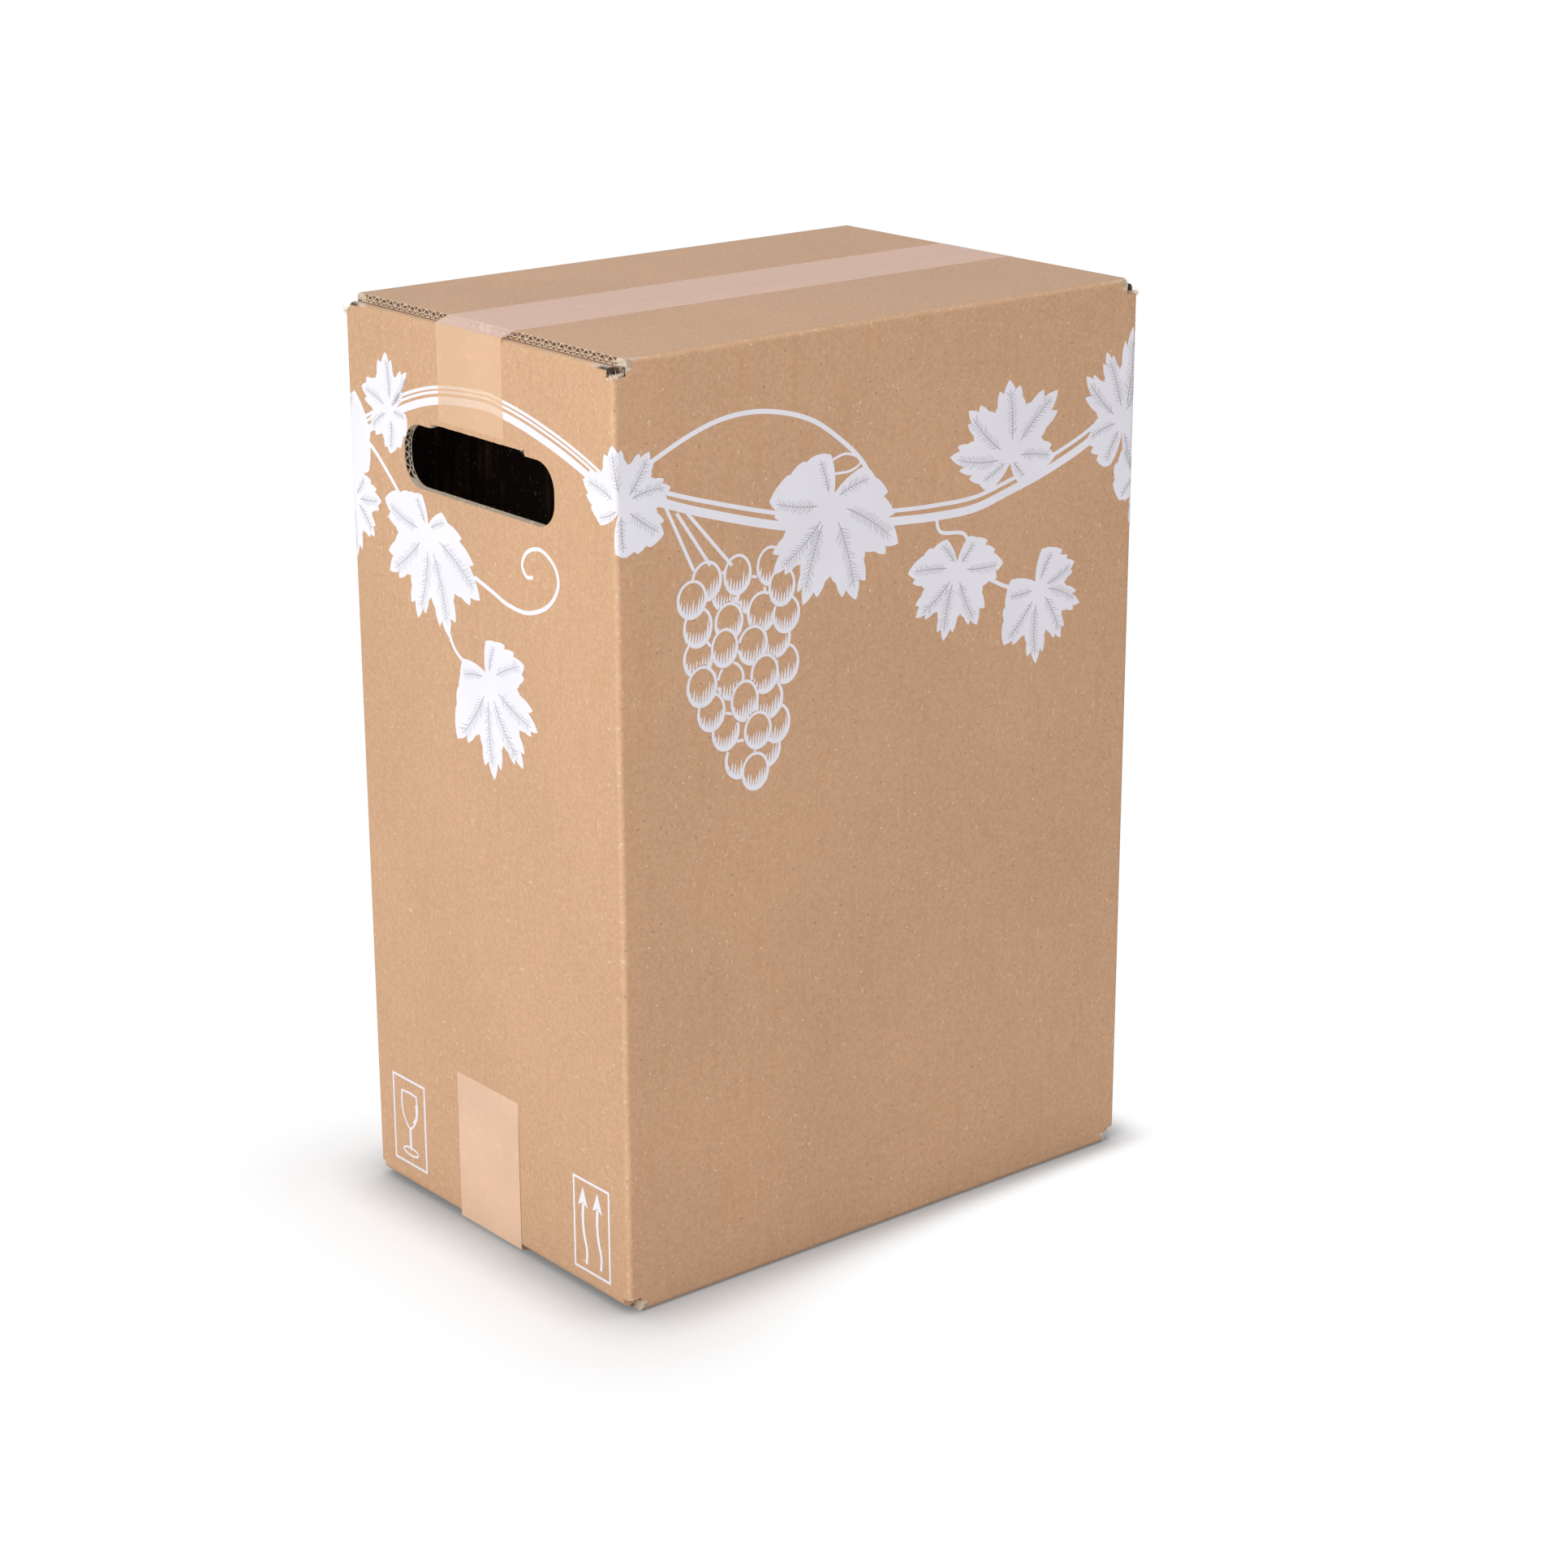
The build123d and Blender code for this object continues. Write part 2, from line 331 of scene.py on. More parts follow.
def divider_material():
    """The same kind of liner, painted darker as the shade inside the closed carton, with its corrugations
    upright.
    """
    graph = Graph("divider_board")
    along = graph.axes("TexCoord", "Object")[0]
    flutes = graph.math("SINE", graph.product(along, 2 * pi / DIVIDER_FLUTE_PITCH))
    grain = graph.noise(1100, 4, 0.7)
    return graph.principled({
        "Base Color": speckle(graph, DIVIDER, KRAFT_LIGHT, KRAFT_DARK),
        "Roughness": 0.85,
        "Normal": graph.bump(grain, 0.25, 0.0003, graph.bump(flutes, 0.1, 0.0005)),
        "Specular IOR Level": 0.3,
    })


TAPE_TOP = (0.79, 0.545, 0.345, 1)
# A painted sheen on the top film where it faces up
TAPE_TOP_PAINTED_SHEEN = (0.925, 0.672, 0.567, 1)
TAPE_BOTTOM = (0.83, 0.56, 0.39, 1)
TAPE_BOTTOM_EDGE_SHADOW = (0.2, 0.11, 0.06, 1)
# Where a painted shadow darkens the bottom film's left edge, as under a lifted edge: across the film, and up
# it
TAPE_EDGE_ACROSS = (-0.01815, -0.0184)
TAPE_EDGE_UP = (0.0775, 0.06)


def tape_material(name, colour, alpha, gloss, is_top):
    """Film with soft wrinkles and dull patches, a painted sheen on the top film where it faces up, and a
    painted shadow along the bottom film's left edge.

    Only its outer skin is tinted, as its sticky side lies on the board.
    """
    graph = Graph(name)
    here = graph.axes("TexCoord", "Object")
    # The sticky side's three stretches: along the flaps, over the gap to the end wall, and down it
    seam, fold = (HEIGHT, END_CREST) if is_top else (FILM, HEIGHT - END_CREST)
    way_out = 1.0 if is_top else -1.0
    run, drop = HALF_LENGTH - LONG_HALF_SPAN, abs(fold - seam)
    slope = hypot(run, drop)
    from_middle = graph.math("ABSOLUTE", here[0])
    above = graph.product(graph.math("SUBTRACT", here[2], seam), way_out)
    past_flap = graph.product(graph.math("SUBTRACT", from_middle, LONG_HALF_SPAN), drop / slope)
    past_gap = graph.math("ADD", past_flap, graph.product(above, run / slope))
    past_end = graph.math("SUBTRACT", from_middle, HALF_LENGTH)
    outside = graph.greatest(above, past_gap, past_end)
    skin = graph.ramp(outside, 0.3 * FILM, 0.7 * FILM)

    wrinkle = graph.noise(60, 3, 0.55, graph.place(stretch=(0.25, 1, 0.25)))
    bubble = graph.ramp(graph.noise(170, 3, 0.6), 0.55, 0.72)
    cloud = graph.ramp(graph.noise(24, 3), 0.3, 0.7)
    tint = graph.mix(cloud, shade(colour, 0.95), shade(colour, 1.04))
    tint = graph.mix(graph.product(bubble, 0.25), tint, shade(colour, 1.1))
    if is_top:
        # Painted sheen: the top film is lighter and pinker where it faces up
        level = graph.axes("NewGeometry", "Normal")[2]
        tint = graph.mix(graph.ramp(level, 0.5, 0.9), tint, TAPE_TOP_PAINTED_SHEEN)
    else:
        # A painted shadow along the bottom film's left edge
        across = graph.ramp(here[1], *TAPE_EDGE_ACROSS)
        up = graph.ramp(here[2], *TAPE_EDGE_UP)
        tint = graph.mix(graph.product(across, up, 0.8), tint, TAPE_BOTTOM_EDGE_SHADOW)
    film = graph.math("ADD", alpha, graph.product(bubble, 0.05))
    height = graph.math("ADD", wrinkle, graph.product(bubble, 0.2))
    return graph.principled({
        "Base Color": tint,
        "Alpha": graph.product(film, skin),
        "Roughness": graph.ramp(wrinkle, 0.3, 0.7, gloss, gloss + 0.12),
        "Normal": graph.bump(height, 0.3, 0.0008),
        "IOR": 1.45,
        "Specular IOR Level": 0.5,
    })


WHITE_INK = (0.86, 0.855, 0.925, 1)
GREY_INK = (0.5, 0.49, 0.53, 1)
INK_PORE = (0.72, 0.58, 0.45, 1)


def ink_material(name, colour, coverage):
    """Opaque flexo ink that lets a little board through as fine speckle."""
    graph = Graph(name)
    cloud = graph.ramp(graph.noise(30, 3), 0.3, 0.7)
    ink = graph.mix(cloud, shade(colour, 0.97), shade(colour, 1.02))
    pores = graph.ramp(graph.noise(1250, 3, 0.7), coverage, coverage + 0.12)
    return graph.principled({
        "Base Color": graph.mix(graph.product(pores, 0.5), ink, INK_PORE),
        "Roughness": 0.7,
        "Normal": graph.bump(graph.noise(900, 3), 0.15, 0.0003),
        "Specular IOR Level": 0.3,
    })


# The print, drawn flat in millimetres and wrapped round the folds


def on_wall(u, z, lift):
    """The place on the carton of a point of the laid-out walls. The glued corner has no fold."""
    u = (u + LAID_END) % (2 * LAID_HALF) - LAID_END
    a, b = HALF_LENGTH * 1000, HALF_WIDTH * 1000
    # Each fold's place, the signs of its corner's x and y, and the angle in degrees at which it starts
    folds = (
        (-LAID_END, -1, 1, 90), (0.0, -1, -1, 180), (LAID_FRONT, 1, -1, 270),
        (2 * LAID_HALF - LAID_END, -1, 1, 90),
    )
    for at, x_side, y_side, start in folds:
        if abs(u - at) < LAID_FOLD:
            turn = radians(start + 90 * (u - at + LAID_FOLD) / (2 * LAID_FOLD))
            reach = LAID_FOLD + lift
            x = x_side * (a - LAID_FOLD) + reach * cos(turn)
            y = y_side * (b - LAID_FOLD) + reach * sin(turn)
            return Vector((x, y, z)) / 1000
    if u < 0:
        x, y = -a - lift, -b - u
    elif u < LAID_FRONT:
        x, y = u - a, -b - lift
    elif u < LAID_HALF:
        x, y = a + lift, u - LAID_FRONT - b
    else:
        x, y = a - (u - LAID_HALF), b + lift
    return Vector((x, y, z)) / 1000


def leftward(points):
    """The unit vector to the left of the way, at each point."""
    for i in range(len(points)):
        before = points[max(i - 1, 0)]
        after = points[min(i + 1, len(points) - 1)]
        along_u, along_z = after[0] - before[0], after[1] - before[1]
        size = hypot(along_u, along_z) or 1.0
        yield -along_z / size, along_u / size


def cut(mesh, at):
    geometry = mesh.verts[:] + mesh.edges[:] + mesh.faces[:]
    bmesh.ops.bisect_plane(mesh, geom=geometry, dist=1e-5, plane_co=(at, 0, 0), plane_no=(1, 0, 0))


def piece(name, mesh, material):
    """A new piece of the object from a bmesh that is already in place."""
    data = bpy.data.meshes.new(name)
    mesh.to_mesh(data)
    mesh.free()
    made = bpy.data.objects.new(name, data)
    bpy.context.scene.collection.objects.link(made)
    data.materials.append(material)
    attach(made, "root")
    return made


class Print:
    """Flat shapes of one ink, kept as polygons with a lift each."""

    def __init__(self):
        self.mesh = bmesh.new()
        self.drawn = 0

    def next_shape(self):
        """Each shape lies a hair above the last, so that no two faces share a plane."""
        self.drawn += 1

    def polygon(self, points):
        lift = INK_LIFT + self.drawn * LAYER
        corners = [self.mesh.verts.new((u, z, lift)) for u, z in points]
        self.mesh.faces.new(corners)

    def ribbon(self, points, widths, lift):
        """A line of varying width through the points."""
        lift += self.drawn * LAYER
        pairs = []
        for (u, z), (left_u, left_z), width in zip(points, leftward(points), widths):
            half = width / 2
            sides = ((u + left_u * half, z + left_z * half), (u - left_u * half, z - left_z * half))
            pairs.append([self.mesh.verts.new((*side, lift)) for side in sides])
        for (a, b), (c, d) in zip(pairs, pairs[1:]):
            self.mesh.faces.new((a, b, d, c))

    def wrap(self, name, material):
        """Repeats the shapes on the far walls, cuts them at the folds and lays them on the carton."""
        whole = bmesh.new()
        for shift, lift in ((0.0, 0.0), (LAID_HALF, COPY_LIFT)):
            part = self.mesh.copy()
            bmesh.ops.triangulate(part, faces=part.faces[:])
            bmesh.ops.translate(part, vec=(shift, 0, lift), verts=part.verts[:])
            if shift:
                cut(part, SEAM_START)
                cut(part, SEAM_END)
                hidden = [f for f in part.faces if SEAM_START < f.calc_center_median().x < SEAM_END]
                bmesh.ops.delete(part, geom=hidden, context="FACES")
            flat = bpy.data.meshes.new("flat")
            part.to_mesh(flat)
            part.free()
            whole.from_mesh(flat)
            bpy.data.meshes.remove(flat)
        for fold in (-LAID_END, 0.0, LAID_FRONT, 2 * LAID_HALF - LAID_END):
            for step in range(-FOLD_CUTS, FOLD_CUTS + 1):
                cut(whole, fold + step)
        whole.normal_update()
        for face in whole.faces:
            if face.normal.z < 0:
                face.normal_flip()
        for vert in whole.verts:
            vert.co = on_wall(vert.co.x, vert.co.y, vert.co.z)
        return piece(name, whole, material)


def spline(points, steps=10):
    """A Catmull-Rom curve through the points."""
    ends = [points[0]] + list(points) + [points[-1]]
    curve = []
    for p0, p1, p2, p3 in zip(ends, ends[1:], ends[2:], ends[3:]):
        for i in range(steps):
            t = i / steps
            curve.append(tuple(
                0.5 * (2 * b + (c - a) * t + (2 * a - 5 * b + 4 * c - d) * t * t
                       + (3 * b - a - 3 * c + d) * t ** 3)
                for a, b, c, d in zip(p0, p1, p2, p3)
            ))
    curve.append(tuple(points[-1]))
    return curve


def line(ink, points, width, lift=INK_LIFT, start=1.0, end=1.0, smooth=True):
    """A drawn line that may swell or thin out towards its ends. Veins don't count as shapes."""
    if lift < VEIN_LIFT:
        ink.next_shape()
    curve = spline(points) if smooth else points
    last = len(curve) - 1
    widths = [width * (start + (end - start) * i / last) for i in range(last + 1)]
    ink.ribbon(curve, widths, lift)


def beside(points, off):
    """The same way, off millimetres to its left."""
    pairs = zip(points, leftward(points))
    return [(u + left_u * off, z + left_z * off) for (u, z), (left_u, left_z) in pairs]


def arc(a, b, bulge, steps=5):
    """Points from a to b, b left out, swelling to the left of the way."""
    mid = ((a[0] + b[0]) / 2 - (b[1] - a[1]) * bulge, (a[1] + b[1]) / 2 + (b[0] - a[0]) * bulge)
    made = []
    for i in range(steps):
        t = i / steps
        made.append(tuple(
            (1 - t) ** 2 * p + 2 * t * (1 - t) * q + t * t * r for p, q, r in zip(a, mid, b)
        ))
    return made


# A leaf's outline. Shares of the gap between two tips, with shares of the way down to the notch between
# them: down the first lobe, with its tooth, and up the second one.
NOTCH_DEPTH = 0.72
NOTCH_AT = 0.52
TEETH_DOWN = ((0.16, 0.52), (0.25, 0.34), (0.4, 0.92))
TEETH_UP = ((0.66, 0.78), (0.76, 0.3), (0.86, 0.46))
# Teeth between a shoulder and a tip: their places in the gap and half their width
SHOULDER_TEETH = (0.3, 0.62)
TOOTH_HALF = 0.03
STALK_NOTCH_DEPTH = 0.2
EDGE_BULGE = -0.14
# A lobe's veins, in shares of its reach: its rib, and the strokes beside it, about VEIN_PITCH mm apart
RIB_START = 0.22
RIB_RUN = 0.66
RIB_STEPS = 12
RIB_WIDTH = 0.5
VEINS_START = 0.28
VEINS_RUN = 0.56
VEIN_PITCH = 1.8
VEIN_WIDTHS = (0.32, 0.16)
VEIN_GAP = 0.3


def leaf_knots(polar, draw):
    """Angles and reaches round a leaf, from each tip's angle, its reach and whether it is a shoulder."""
    knots = []
    for i, (angle, reach, shoulder) in enumerate(polar):
        next_angle, next_reach, next_shoulder = polar[(i + 1) % len(polar)]
        gap = (next_angle - angle) % (2 * pi)
        knots.append((angle, reach))
        if shoulder and next_shoulder:
            low = STALK_NOTCH_DEPTH * min(reach, next_reach)
            knots.append((angle + 0.2 * gap, reach * 0.9))
            knots.append((angle + 0.5 * gap, low))
            knots.append((angle + 0.8 * gap, next_reach * 0.9))
        elif shoulder or next_shoulder:
            for share in SHOULDER_TEETH:
                both = reach + (next_reach - reach) * share
                knots.append((angle + (share - TOOTH_HALF) * gap, both * draw.uniform(0.87, 0.91)))
                knots.append((angle + (share + TOOTH_HALF) * gap, both * draw.uniform(0.95, 0.99)))
        else:
            low = min(reach, next_reach) * NOTCH_DEPTH * draw.uniform(0.95, 1.03)
            for share, depth in TEETH_DOWN:
                knots.append((angle + share * gap, reach - depth * (reach - low)))
            knots.append((angle + NOTCH_AT * gap, low * 0.97))
            for share, depth in TEETH_UP:
                knots.append((angle + share * gap, next_reach - depth * (next_reach - low)))
    return knots


def leaf(ink, veins, base, tips, seed):
    """A vine leaf round its base: a toothed and veined lobe to each tip, with a shoulder first and last."""
    draw = random.Random(seed)
    polar = sorted(
        (atan2(z - base[1], u - base[0]), hypot(u - base[0], z - base[1]), i in (0, len(tips) - 1))
        for i, (u, z) in enumerate(tips)
    )
    corners = [(base[0] + r * cos(a), base[1] + r * sin(a)) for a, r in leaf_knots(polar, draw)]
    outline = []
    for i, corner in enumerate(corners):
        outline += arc(corner, corners[(i + 1) % len(corners)], EDGE_BULGE)
    ink.next_shape()
    for i, point in enumerate(outline):
        ink.polygon([base, point, outline[(i + 1) % len(outline)]])
    for angle, reach, _ in polar:
        leaf_veins(veins, base, angle, reach, draw)


def leaf_veins(veins, base, angle, reach, draw):
    """The rib of one lobe, bent a little, with short strokes to both sides of it."""
    bend = draw.choice((-1, 1)) * draw.uniform(0.12, 0.3)

    def rib(t):
        turn = angle + bend * (1 - t)
        return (base[0] + reach * t * cos(turn), base[1] + reach * t * sin(turn))

    middle = [rib(RIB_START + RIB_RUN * i / RIB_STEPS) for i in range(RIB_STEPS + 1)]
    line(veins, middle, RIB_WIDTH, VEIN_LIFT, end=0.6, smooth=False)
    strokes = max(4, int(reach * 0.64 / VEIN_PITCH))
    for i in range(strokes):
        t = VEINS_START + VEINS_RUN * i / strokes
        foot = rib(t)
        size = (1.5 + reach * 0.06) * draw.uniform(0.75, 1.2)
        for way in (-1, 1):
            lean = angle + bend * (1 - t) * 0.4 + way * draw.uniform(0.75, 1.05)
            near = (foot[0] + VEIN_GAP * cos(lean), foot[1] + VEIN_GAP * sin(lean))
            far = (foot[0] + size * cos(lean), foot[1] + size * sin(lean))
            veins.ribbon([near, far], VEIN_WIDTHS, VEIN_LIFT)


# A grape, in shares of its radii: the rim's inner edge, which thickens downwards, and the strokes of its
# shade, which stand side by side and lean. STROKE_PITCH is in millimetres.
RIM_STEPS = 64
RIM_INNER = 0.855
RIM_THICKENING = 0.095
STROKE_PITCH = 1.75
STROKE_PARTS = 7
STROKE_SPAN = 0.86
STROKE_FOOT = 0.93
STROKE_SLANT = 0.14


def grape(ink, centre, radii, hiding, draw):
    """One oval grape: its rim and the strokes of its shade, broken off where a nearer one covers it."""

    def covered(u, z):
        return any(hypot((u - c[0]) / r[0], (z - c[1]) / r[1]) < 1 for c, r in hiding)

    turns = [2 * pi * i / RIM_STEPS for i in range(RIM_STEPS + 1)]
    rim = [(centre[0] + radii[0] * cos(turn), centre[1] + radii[1] * sin(turn)) for turn in turns]
    ink.next_shape()
    for a, b in zip(rim, rim[1:]):
        middle = ((a[0] + b[0]) / 2, (a[1] + b[1]) / 2)
        if not covered(*middle):
            low = 0.5 - 0.5 * (middle[1] - centre[1]) / radii[1]
            share = RIM_INNER - RIM_THICKENING * low
            inner = [tuple(c + (p - c) * share for p, c in zip(q, centre)) for q in (b, a)]
            ink.polygon([a, b] + inner)
    strokes = int(2 * radii[0] / STROKE_PITCH)
    for i in range(strokes):
        ink.next_shape()
        across = -STROKE_SPAN + 2 * STROKE_SPAN * (i + 0.5) / strokes
        foot_z = -((1 - across * across) ** 0.5) * STROKE_FOOT
        rise = (0.5 + 0.62 * (across * 0.5 + 0.5)) * draw.uniform(0.7, 1.15)
        for part in range(STROKE_PARTS):
            ends = []
            for share in (part / STROKE_PARTS, (part + 1) / STROKE_PARTS):
                u = centre[0] + radii[0] * (across + STROKE_SLANT * rise * share)
                z = centre[1] + radii[1] * (foot_z + rise * share)
                width = 1.25 * (1 - share ** 1.7) + 0.2
                ends.append((u, z, width / 2))
            (u0, z0, half0), (u1, z1, half1) = ends
            if not covered((u0 + u1) / 2, (z0 + z1) / 2):
                ink.polygon([(u0 - half0, z0), (u0 + half0, z0), (u1 + half1, z1), (u1 - half1, z1)])


GRAPE_HALF_WIDTH = (7.7, 8.6)
GRAPE_HALF_HEIGHT = (8.8, 9.8)


def bunch(ink):
    """Rows of grapes from the stems down to the last one, the nearer ones drawn over the others."""
    draw = random.Random(11)
    rows = (
        (337, (49, 66, 84)), (329, (42, 58, 75, 92)), (316, (44, 61, 78, 94)), (304, (43, 57, 73, 89)),
        (291, (47, 63, 80, 94)), (278, (52, 68, 84)), (265, (60, 76, 89)), (253, (67, 82)), (244, (74,)),
    )
    grapes = []
    for height, places in rows:
        for place in places:
            centre = (place + draw.uniform(-1.6, 1.6), height + draw.uniform(-2.2, 2.2))
            grapes.append((centre, (draw.uniform(*GRAPE_HALF_WIDTH), draw.uniform(*GRAPE_HALF_HEIGHT))))
    draw.shuffle(grapes)
    for i, (centre, radii) in enumerate(grapes):
        grape(ink, centre, radii, grapes[i + 1:], draw)


# Each leaf's base, then its tips in turn, with a round one first and last
LEAVES = (
    ((-170, 391), (-160, 401), (-155, 411), (-172, 418), (-193, 399), (-187, 380), (-171, 371), (-156, 389)),
    ((-203, 345), (-193, 357), (-180, 347), (-187, 329), (-203, 316), (-214, 334), (-212, 360)),
    ((-143, 340), (-152, 356), (-177, 349), (-175, 315), (-153, 297), (-128, 293), (-102, 316), (-126, 347)),
    ((-97, 280), (-91, 299), (-69, 293), (-60, 264), (-72, 244), (-95, 233), (-124, 246), (-120, 277)),
    ((4, 378), (-13, 371), (-22, 386), (-1, 404), (19, 399), (30, 382), (26, 362), (5, 355)),
    ((119, 361), (112, 384), (84, 367), (86, 334), (103, 317), (134, 314), (159, 336), (145, 369)),
    ((228, 366), (208, 356), (190, 371), (201, 391), (226, 402), (257, 393), (256, 362), (238, 354)),
    ((300, 372), (288, 352), (276, 366), (275, 397), (288, 407), (305, 417), (314, 396), (309, 346)),
    ((195, 318), (184, 332), (165, 321), (170, 299), (187, 285), (208, 289), (224, 316), (207, 331)),
    ((247, 300), (257, 318), (270, 309), (274, 288), (262, 273), (246, 263), (225, 276), (226, 299)),
)


def garland(ink, veins):
    """Vines, stems, tendrils, leaves and grapes, of the end wall on the left and the front wall."""
    end_vine = [(-210, 370), (-192, 378), (-177, 385), (-156, 395), (-129, 402.5), (-95, 405.5), (-80, 404),
                (-64, 401.3), (-50, 398), (-37, 394.5), (-23, 390), (-10, 385), (6, 378.5)]
    for off, width in ((0.0, 3.6), (3.8, 1.3), (6.0, 1.5)):
        line(ink, beside(end_vine, off), width)
    line(ink, [(16, 379), (25.4, 375.8), (49, 367.5), (90.5, 355.3), (125, 349.3), (158, 346.6), (180, 345),
               (205, 345), (228, 350), (251, 356), (277, 365.5), (304, 380)], 4.0)
    line(ink, [(18, 383), (27, 380), (49, 372.7), (92, 360.4), (125, 354.6), (158, 351.5), (180, 350.2),
               (205, 350.2), (228, 355), (251, 361.5), (277, 371), (304, 386)], 2.0)
    line(ink, [(12, 391), (41, 403), (63, 408), (85, 407), (108, 400), (127, 387), (139, 375), (148, 358)],
         2.2)
    for start, end in (((27, 374), (42, 343)), ((33, 370), (51, 344)), ((38, 370), (63, 342))):
        line(ink, [start, end], 1.7, smooth=False)

    # Stems and tendrils
    line(ink, [(-199, 375), (-187, 372), (-174, 362), (-163, 352)], 2.1, start=1.2, end=0.9)
    line(ink, [(-106, 326), (-92, 322), (-80, 318.5), (-65, 318), (-50, 324), (-42, 334), (-44, 343),
               (-54, 348.5), (-64, 346), (-68.5, 339.5), (-65.5, 334.5), (-60.5, 335)], 2.1, end=0.8)
    line(ink, [(-129, 298), (-124, 289), (-115, 283.5), (-101, 280)], 1.9)
    line(ink, [(182, 344), (185, 337), (199, 334), (203, 325)], 1.8)
    line(ink, [(215, 310), (227, 304), (241, 301)], 1.9)
    line(ink, [(119, 380), (128, 382), (137, 378), (131, 374), (120, 374)], 1.2)

    for seed, (base, *tips) in enumerate(LEAVES, start=1):
        leaf(ink, veins, base, tips, seed)
    bunch(ink)


def frame_lines(ink, left, right, low, high, width):
    """Four straight lines round a mark, each long enough to fill the corners."""
    corners = [(left, low), (right, low), (right, high), (left, high)]
    half = width / 2
    for i, (u, z) in enumerate(corners):
        to_u, to_z = corners[(i + 1) % 4]
        more_u = half * ((to_u > u) - (to_u < u))
        more_z = half * ((to_z > z) - (to_z < z))
        ink.next_shape()
        ink.ribbon([(u - more_u, z - more_z), (to_u + more_u, to_z + more_z)], [width, width], INK_LIFT)


def handling_marks(ink):
    """The common signs for fragile goods and for this way up."""
    # A glass: its bowl, its rim, a shine in it, its stem and its foot
    frame_lines(ink, -190.3, -163.4, 13.9, 58.5, 1.25)
    stem = -176.8
    bowl = [(-183, 51.5), (-183.4, 44), (-181.5, 37.5), (stem, 33), (-172, 37.5), (-170, 44), (-170.6, 51.5)]
    line(ink, bowl, 1.2)
    line(ink, [(-183.6, 51.4), (stem, 51.9), (-170, 51.4)], 1.1)
    line(ink, [(-171.2, 47), (-170.9, 41), (-173.6, 36.4)], 1.9, start=0.6, end=0.9)
    line(ink, [(stem, 33.6), (stem, 21.5)], 2.0, smooth=False)
    foot = [(stem + 6.3 * cos(2 * pi * i / 28), 20.5 + 2.0 * sin(2 * pi * i / 28)) for i in range(29)]
    line(ink, foot, 1.1, smooth=False)

    # Two arrows
    frame_lines(ink, -40.9, -14.2, 11.4, 56.5, 1.25)
    for left, low in ((-34.5, 14.5), (-23.5, 15.0)):
        shaft = [(left + 2.4, low), (left + 2.9, low + 7), (left + 0.9, low + 15), (left + 0.2, low + 22),
                 (left + 0.6, low + 30)]
        line(ink, shaft, 2.0, start=0.8)
        ink.next_shape()
        ink.polygon([(left - 3.3, low + 28.5), (left + 0.5, low + 30.5), (left + 4.4, low + 28.2),
                     (left + 0.6, low + 38.5)])


ink = Print()
veins = Print()
garland(ink, veins)
handling_marks(ink)
ink.wrap("print_white", ink_material("white_ink", WHITE_INK, 0.66))
veins.wrap("print_veins", ink_material("grey_ink", GREY_INK, 0.7))


# Torn fibres round the corner notches and along the cut edges

FIBRE_DARK = (0.9, 0.71, 0.52, 1)
FIBRE_LIGHT = (1.0, 0.92, 0.8, 1)
FIBRE_THICKNESS = (0.00007, 0.00016)
FIBRE_PARTS = 4
# How far a fibre may stand out past the walls, in metres
FIBRE_REACH = 0.0008


def fibre_material():
    graph = Graph("paper_fibre")
    colour = graph.mix(graph.noise(700, 2), FIBRE_DARK, FIBRE_LIGHT)
    return graph.principled({"Base Color": colour, "Roughness": 0.9})


def fibres(name, places, seed):
    """Short curled paper fibres, each a thin four-sided strand, at (place, spread, count, length)."""
    draw = random.Random(seed)
    mesh = bmesh.new()
    for place, spread, count, length in places:
        for _ in range(count):
            foot = Vector(place) + Vector(draw.uniform(-1, 1) * s for s in spread)
            way = Vector((draw.gauss(0, 1), draw.gauss(0, 1), draw.gauss(0, 1))).normalized()
            curl = Vector((draw.gauss(0, 1), draw.gauss(0, 1), draw.gauss(0, 1))) * 0.5
            size = length * draw.uniform(0.4, 1.2)
            thick = draw.uniform(*FIBRE_THICKNESS)
            rings = []
            for i in range(FIBRE_PARTS + 1):
                t = i / FIBRE_PARTS
                at = foot + way * size * t + curl * size * t * t
                side = way.orthogonal().normalized() * thick * (1.1 - t)
                other = way.cross(side)
                rings.append([mesh.verts.new(at + off) for off in (side, other, -side, -other)])
            for a, b in zip(rings, rings[1:]):
                for i in range(4):
                    mesh.faces.new((a[i], a[(i + 1) % 4], b[(i + 1) % 4], b[i]))
    limit_x, limit_y = HALF_LENGTH + FIBRE_REACH, HALF_WIDTH + FIBRE_REACH
    for vert in mesh.verts:
        vert.co.x = max(-limit_x, min(limit_x, vert.co.x))
        vert.co.y = max(-limit_y, min(limit_y, vert.co.y))
        vert.co.z = min(HEIGHT, vert.co.z)
    return piece(name, mesh, fibre_material())


torn_places = []
# At three corners: in the slot, along the end wall's crest and on the flap's corner
for x_side, y_side, wear in ((-1, -1, 1.0), (1, -1, 0.6), (-1, 1, 0.5)):
    for x, y, z, spread, count, length in (
        (0.1525, 0.1012, 0.4325, (0.0016, 0.0016, 0.0005), 150, 0.0019),
        (0.149, 0.101, 0.433, (0.0035, 0.0006, 0.0006), 90, 0.0014),
        (0.1467, 0.1, 0.4365, (0.0003, 0.002, 0.003), 40, 0.0012),
    ):
        torn_places.append(((x_side * x, y_side * y, z), spread, int(count * wear), length))
# At both ends: the long flaps' side edges, the hand hole's floor and its two relief nicks
for x_side in (-1, 1):
    torn_places.append(((x_side * LONG_HALF_SPAN, 0, 0.438), (0.0002, 0.098, 0.0019), 240, 0.0007))
    torn_places.append(((x_side * 0.1525, HOLE_MIDDLE, 0.3592), (0.0013, 0.045, 0.0002), 170, 0.0008))
    for nick in (-0.038, 0.035):
        torn_places.append(((x_side * 0.1532, nick, 0.3905), (0.0006, 0.0022, 0.001), 26, 0.0011))
fibres("torn_fibres", torn_places, 5)


# Finishes of the CAD pieces

kraft = carton_material()

